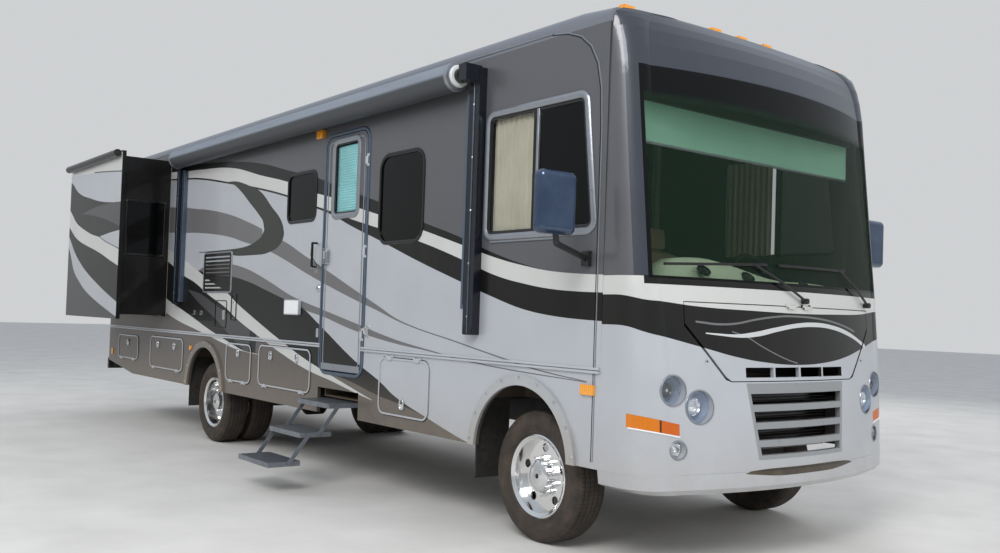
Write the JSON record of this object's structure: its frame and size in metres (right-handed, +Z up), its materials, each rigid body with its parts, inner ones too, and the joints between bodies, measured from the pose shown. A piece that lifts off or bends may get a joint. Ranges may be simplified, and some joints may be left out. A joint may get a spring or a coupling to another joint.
{
  "type": "motorhome",
  "caption": "Full-width box-bodied motorhome with a flat glass nose, slide-out rooms, fold-out entry steps, roll-up awning, side storage doors and twin rear wheels.",
  "frame": {"origin": "on the ground under the middle of the overall box", "axes": "+X to the vehicle's left (road) side, +Y to the rear, +Z up; the curb side with the entry door is at -X"},
  "size_m": [3.9595, 10.0598, 3.6649],
  "materials": {
    "frame_black": "satin",
    "cast_iron": "rough",
    "pipe_steel": "rough",
    "floor_board": "matte",
    "body_paint": "gloss",
    "flare_plastic": "satin",
    "black_rubber": "matte",
    "black_plastic": "matte",
    "roof_white": "matte",
    "front_glass": "polished",
    "side_glass": "polished",
    "grille_black": "gloss",
    "lamp_clear": "polished",
    "lamp_red": "gloss",
    "lamp_amber": "gloss",
    "awning_white": "satin",
    "roof_plastic": "matte",
    "mirror_shell": "gloss",
    "dash_plastic": "matte",
    "seat_leather": "satin",
    "step_steel": "satin",
    "slide_paint": "gloss",
    "wheel_steel": "polished",
    "tyre_rubber": "matte"
  },
  "bodies": {
    "vehicle": {"chassis_rails": "frame_black", "crossmembers": "frame_black", "drive_shaft": "cast_iron", "exhaust_pipe": "pipe_steel", "fuel_tank": "black_plastic", "axles": "frame_black", "engine_block": "cast_iron", "floor_deck": "floor_board", "right_wall": "body_paint", "left_wall": "body_paint", "side_skirts": "body_paint", "wheel_flares": "flare_plastic", "mud_flaps": "black_rubber", "storage_tubs": "black_plastic", "rear_cap": "body_paint", "roof_shell": "roof_white", "front_cap": "body_paint", "windshield": "front_glass", "window_glass": "side_glass", "grille": "grille_black", "front_bumper": "body_paint", "rear_bumper": "body_paint", "headlamps": "lamp_clear", "tail_lamps": "lamp_red", "marker_lamps": "lamp_amber", "awning": "awning_white", "roof_units": "roof_plastic", "mirrors": "mirror_shell", "wipers": "black_plastic", "dashboard": "dash_plastic", "cab_seats": "seat_leather", "step_upper": "step_steel"},
    "door": {"entry_door": "body_paint", "entry_door_glass": "side_glass"},
    "step_links_a": {"step_links_upper": "step_steel"},
    "step_mid": {"step_middle": "step_steel"},
    "step_links_b": {"step_links_lower": "step_steel"},
    "step_low": {"step_lower": "step_steel"},
    "hood": {"hood_lid": "body_paint"},
    "slide_curb": {"slide_room_curb": "slide_paint", "slide_glass_curb": "side_glass"},
    "slide_road": {"slide_room_road": "slide_paint", "slide_glass_road": "side_glass"},
    "bay_a": {"bay_door_a": "body_paint"},
    "bay_b": {"bay_door_b": "body_paint"},
    "bay_c": {"bay_door_c": "body_paint"},
    "bay_d": {"bay_door_d": "body_paint"},
    "bay_e": {"bay_door_e": "body_paint"},
    "bay_f": {"bay_door_f": "body_paint"},
    "bay_g": {"bay_door_g": "body_paint"},
    "knuckle_body_right": {"knuckle_right": "cast_iron"},
    "front_wheel_right": {"front_rim_right": "wheel_steel", "front_tyre_right": "tyre_rubber"},
    "rear_wheels_right": {"rear_rims_right": "wheel_steel", "rear_tyres_right": "tyre_rubber"},
    "knuckle_body_left": {"knuckle_left": "cast_iron"},
    "front_wheel_left": {"front_rim_left": "wheel_steel", "front_tyre_left": "tyre_rubber"},
    "rear_wheels_left": {"rear_rims_left": "wheel_steel", "rear_tyres_left": "tyre_rubber"}
  },
  "joints": [
    {"name": "door_swing", "type": "hinge", "parent": "vehicle", "child": "door", "pos_m": [-1.285, -1.76147, 1.9], "axis": [0, 0, 1], "range_deg": [0, 100]},
    {"name": "step_fold_a", "type": "hinge", "parent": "vehicle", "child": "step_links_a", "pos_m": [-1.4, -1.34947, 0.663], "axis": [0, -1, 0], "range_deg": [0, 75]},
    {"name": "step_fold_b", "type": "hinge", "parent": "step_links_a", "child": "step_mid", "pos_m": [-1.56, -1.34947, 0.45], "axis": [0, 1, 0], "range_deg": [0, 75]},
    {"name": "step_fold_c", "type": "hinge", "parent": "step_mid", "child": "step_links_b", "pos_m": [-1.65, -1.34947, 0.45], "axis": [0, -1, 0], "range_deg": [0, 75]},
    {"name": "step_fold_d", "type": "hinge", "parent": "step_links_b", "child": "step_low", "pos_m": [-1.81, -1.34947, 0.237], "axis": [0, 1, 0], "range_deg": [0, 75]},
    {"name": "hood_swing", "type": "hinge", "parent": "vehicle", "child": "hood", "pos_m": [0, -4.92896, 1.548], "axis": [-1, 0, 0], "range_deg": [0, 75]},
    {"name": "slide_travel_curb", "type": "slide", "parent": "vehicle", "child": "slide_curb", "axis": [1, 0, 0], "range_m": [0, 0.525]},
    {"name": "slide_travel_road", "type": "slide", "parent": "vehicle", "child": "slide_road", "axis": [-1, 0, 0], "range_m": [0, 0.565]},
    {"name": "bay_swing_a", "type": "hinge", "parent": "vehicle", "child": "bay_a", "pos_m": [-1.285, 4.065, 0.733], "axis": [0, -1, 0], "range_deg": [0, 90]},
    {"name": "bay_swing_b", "type": "hinge", "parent": "vehicle", "child": "bay_b", "pos_m": [-1.285, 2.6925, 0.683], "axis": [0, -1, 0], "range_deg": [0, 90]},
    {"name": "bay_swing_c", "type": "hinge", "parent": "vehicle", "child": "bay_c", "pos_m": [-1.285, 0.6425, 0.683], "axis": [0, -1, 0], "range_deg": [0, 90]},
    {"name": "bay_swing_d", "type": "hinge", "parent": "vehicle", "child": "bay_d", "pos_m": [-1.285, -0.3696, 0.693], "axis": [0, -1, 0], "range_deg": [0, 90]},
    {"name": "bay_swing_e", "type": "hinge", "parent": "vehicle", "child": "bay_e", "pos_m": [-1.285, -2.3875, 1.092], "axis": [0, 1, 0], "range_deg": [0, 90]},
    {"name": "bay_swing_f", "type": "hinge", "parent": "vehicle", "child": "bay_f", "pos_m": [1.285, -0.8979, 0.683], "axis": [0, 1, 0], "range_deg": [0, 90]},
    {"name": "bay_swing_g", "type": "hinge", "parent": "vehicle", "child": "bay_g", "pos_m": [1.285, 2.6925, 0.683], "axis": [0, 1, 0], "range_deg": [0, 90]},
    {"name": "steer_right", "type": "hinge", "parent": "vehicle", "child": "knuckle_body_right", "pos_m": [-0.84, -3.83, 0.419], "axis": [0, 0, 1], "range_deg": [-35, 35]},
    {"name": "spin_front_right", "type": "hinge", "parent": "knuckle_body_right", "child": "front_wheel_right", "pos_m": [-1.065, -3.83, 0.419], "axis": [1, 0, 0], "continuous": true},
    {"name": "spin_rear_right", "type": "hinge", "parent": "vehicle", "child": "rear_wheels_right", "pos_m": [-0.94, 1.453, 0.419], "axis": [1, 0, 0], "continuous": true},
    {"name": "steer_left", "type": "hinge", "parent": "vehicle", "child": "knuckle_body_left", "pos_m": [0.84, -3.83, 0.419], "axis": [0, 0, 1], "range_deg": [-35, 35]},
    {"name": "spin_front_left", "type": "hinge", "parent": "knuckle_body_left", "child": "front_wheel_left", "pos_m": [1.065, -3.83, 0.419], "axis": [1, 0, 0], "continuous": true},
    {"name": "spin_rear_left", "type": "hinge", "parent": "vehicle", "child": "rear_wheels_left", "pos_m": [0.94, 1.453, 0.419], "axis": [1, 0, 0], "continuous": true}
  ],
  "couplings": [
    {"joint": "step_fold_b", "follows": "step_fold_a", "ratio": 1},
    {"joint": "step_fold_c", "follows": "step_fold_a", "ratio": 1},
    {"joint": "step_fold_d", "follows": "step_fold_a", "ratio": 1},
    {"joint": "steer_left", "follows": "steer_right", "ratio": 1}
  ]
}
